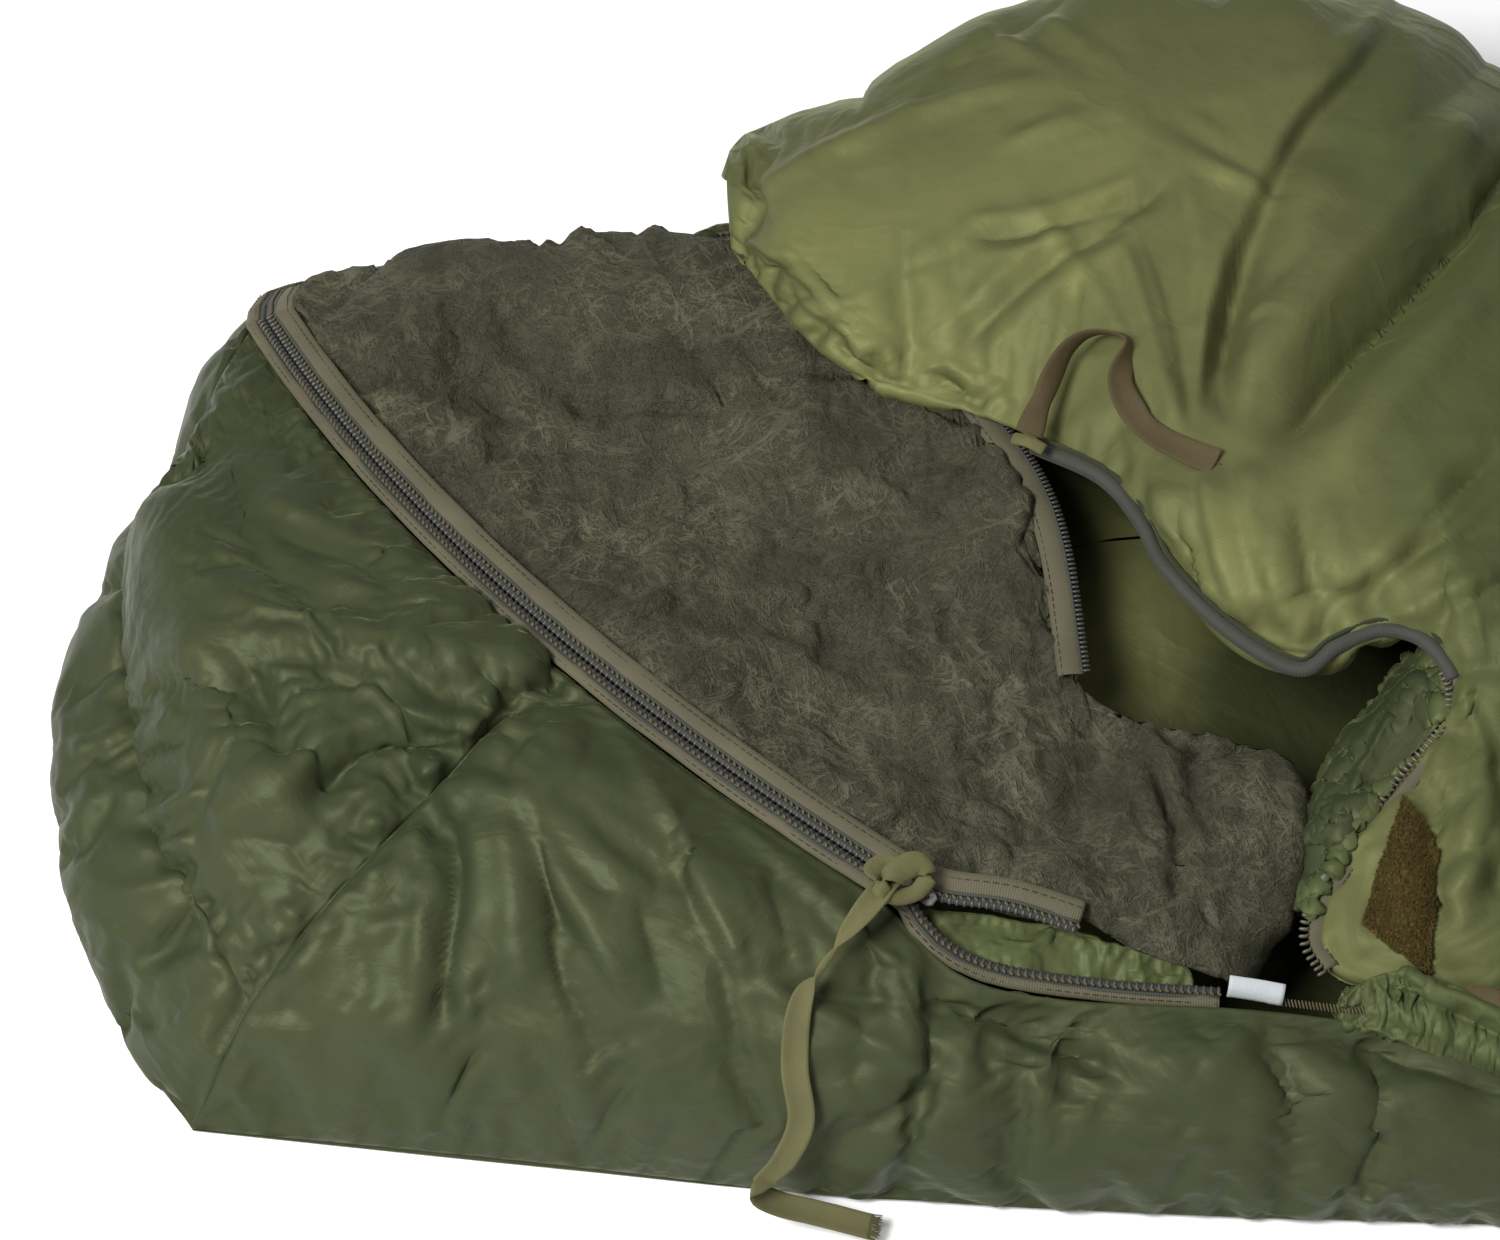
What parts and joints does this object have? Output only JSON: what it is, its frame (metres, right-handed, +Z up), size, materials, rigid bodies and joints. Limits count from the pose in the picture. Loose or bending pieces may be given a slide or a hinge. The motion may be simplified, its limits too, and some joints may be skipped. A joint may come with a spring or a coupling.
{
  "type": "padded bivy sack with hood and insect net",
  "caption": "Padded bivy sack with a gathered hood, a zipped insect net over the face, a side zip and a fold-back chest flap.",
  "frame": {"origin": "on the floor below the middle of the sack", "axes": "+X along the sack from head to foot, +Y to the far side away from the zips, +Z up"},
  "size_m": [2.2569, 0.7743, 0.1788],
  "materials": {
    "shell_fabric": "dark green satin taffeta",
    "lining_fabric": "light olive satin taffeta",
    "wadding": "synthetic fibre fill",
    "insect_net": "fine olive mesh",
    "zip_tape": "khaki woven tape",
    "dark_zip_tape": "dark grey woven tape",
    "zip_coil": "satin nylon coil",
    "slider_metal": "painted zinc",
    "pull_tape": "olive herringbone tape",
    "webbing": "brown woven webbing",
    "hook_and_loop": "fuzzy loop pile",
    "label": "blank satin label"
  },
  "bodies": {
    "sack": {"side_wall_outer": "shell_fabric", "side_wall_wadding": "wadding", "side_wall_lining": "lining_fabric", "hood_crown_outer": "shell_fabric", "hood_crown_wadding": "wadding", "hood_crown_lining": "lining_fabric", "hood_gusset_outer": "shell_fabric", "hood_gusset_wadding": "wadding", "hood_gusset_lining": "lining_fabric", "cover_outer": "shell_fabric", "cover_wadding": "wadding", "cover_lining": "lining_fabric", "foot_end_outer": "shell_fabric", "foot_end_wadding": "wadding", "foot_end_lining": "lining_fabric", "pad_outer": "shell_fabric", "pad_wadding": "wadding", "pad_lining": "lining_fabric", "net_panel": "insect_net", "net_gathers": "insect_net", "chest_tape": "zip_tape", "chest_coil": "zip_coil", "net_zip_coil_hood": "zip_coil", "net_zip_coil_net": "zip_coil", "net_zip_tape_hood": "zip_tape", "net_zip_tape_net": "zip_tape", "zip_draft_strip": "lining_fabric", "side_label": "label", "body_zip_coil_side": "zip_coil", "body_zip_coil_cover": "zip_coil", "body_zip_tape_side": "zip_tape", "body_zip_tape_cover": "zip_tape", "side_webbing_loop": "webbing"},
    "chest_flap": {"flap_outer": "lining_fabric", "flap_wadding": "wadding", "flap_lining": "shell_fabric", "flap_zip_tape": "dark_zip_tape", "flap_zip_coil": "zip_coil", "flap_zip_stop": "slider_metal", "webbing_loop": "webbing", "hook_patch": "hook_and_loop", "draft_tube": "shell_fabric"},
    "net_zip_slider": {"net_zip_slider": "slider_metal", "pull_tape": "pull_tape"},
    "net_zip_pull": {"net_zip_pull": "slider_metal"},
    "body_zip_slider": {"body_zip_slider": "slider_metal"},
    "body_zip_pull": {"body_zip_pull": "slider_metal"}
  },
  "joints": [
    {"name": "net_zip_travel", "type": "hinge", "parent": "sack", "child": "net_zip_slider", "pos_m": [-0.35259, 0.3624, -0.27039], "axis": [0.3559, 0.3461, 0.8681], "range_deg": [-34, 0], "deforming": ["pull_tape"]},
    {"name": "net_zip_pull_swing", "type": "hinge", "parent": "net_zip_slider", "child": "net_zip_pull", "pos_m": [-0.71594, -0.24381, 0.12453], "axis": [-0.5739, -0.8076, -0.136], "range_deg": [0, 170]},
    {"name": "body_zip_travel", "type": "slide", "parent": "sack", "child": "body_zip_slider", "axis": [0.999, 0.044, 0], "range_m": [0, 1.1]},
    {"name": "body_zip_pull_swing", "type": "hinge", "parent": "body_zip_slider", "child": "body_zip_pull", "pos_m": [-0.3209, -0.30191, 0.08384], "axis": [0.0368, -0.8346, -0.5497], "range_deg": [0, 170]},
    {"name": "chest_flap_fold", "type": "hinge", "parent": "sack", "child": "chest_flap", "pos_m": [-0.35, 0, 0.16], "axis": [0, 1, 0], "range_deg": [0, 100]}
  ]
}
